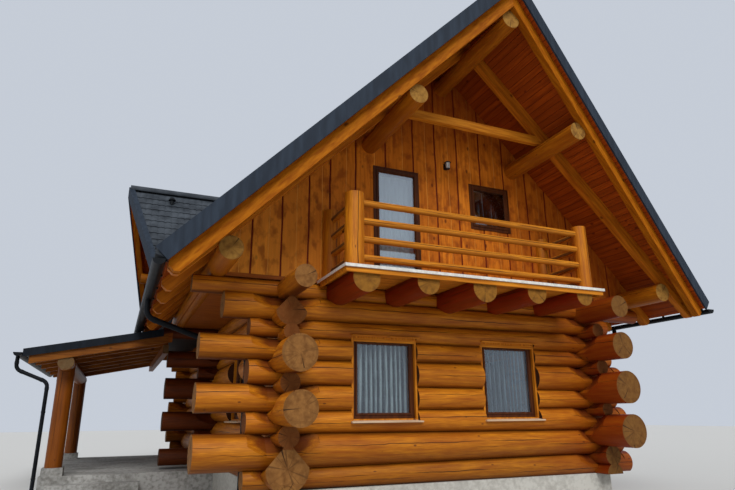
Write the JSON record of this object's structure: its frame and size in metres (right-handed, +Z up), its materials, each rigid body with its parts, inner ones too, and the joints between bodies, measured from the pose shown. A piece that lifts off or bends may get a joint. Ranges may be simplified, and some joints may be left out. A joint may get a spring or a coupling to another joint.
{
  "type": "alpine chalet",
  "caption": "Alpine log chalet: round notched logs below, boarded gables, steep purlin roof with leaning verges, log balcony and a lean-to porch.",
  "frame": {"origin": "On the level ground under the middle of the front log wall's axis, which is a point on the underside of the plinth.", "axes": "+X runs to the right along the front wall, +Y from the front wall to the back, +Z up."},
  "size_m": [11.989, 16.02, 8.3788],
  "materials": {
    "concrete": "matt",
    "stained_logs": "satin",
    "gable_boards": "satin",
    "rafter_timber": "satin",
    "soffit_boards": "satin",
    "roof_tiles": "matt",
    "slate_sheet_metal": "satin",
    "gutter_metal": "satin",
    "window_frames": "satin",
    "glass": "gloss",
    "black_metal": "satin"
  },
  "bodies": {
    "root": {"plinth": "concrete", "ground_floor": "concrete", "front_log_wall": "stained_logs", "back_log_wall": "stained_logs", "cross_log_wall": "stained_logs", "left_log_wall": "stained_logs", "right_log_wall": "stained_logs", "attic_floor": "soffit_boards", "front_gable": "gable_boards", "back_gable": "gable_boards", "side_gable": "gable_boards", "main_purlins": "stained_logs", "side_purlins": "stained_logs", "verge_rafters": "rafter_timber", "common_rafters": "rafter_timber", "collar_ties": "rafter_timber", "roof_boarding": "soffit_boards", "roof_covering": "roof_tiles", "verge_flashings": "slate_sheet_metal", "ridge_caps": "roof_tiles", "roof_vent": "gutter_metal", "gutters": "gutter_metal", "downpipes": "gutter_metal", "balcony_joists": "stained_logs", "balcony_deck": "rafter_timber", "balcony_posts": "stained_logs", "balcony_rails": "stained_logs", "window_linings": "rafter_timber", "window_frames": "window_frames", "window_glass": "glass", "attic_frames": "window_frames", "attic_glass": "glass", "balcony_door": "window_frames", "entrance_door": "window_frames", "wall_lantern": "black_metal", "porch_slab": "concrete", "porch_piers": "concrete", "porch_posts": "stained_logs", "porch_beams": "stained_logs", "porch_rafters": "rafter_timber", "porch_roof": "roof_tiles", "porch_flashing": "slate_sheet_metal", "porch_gutter": "gutter_metal"}
  },
  "joints": []
}
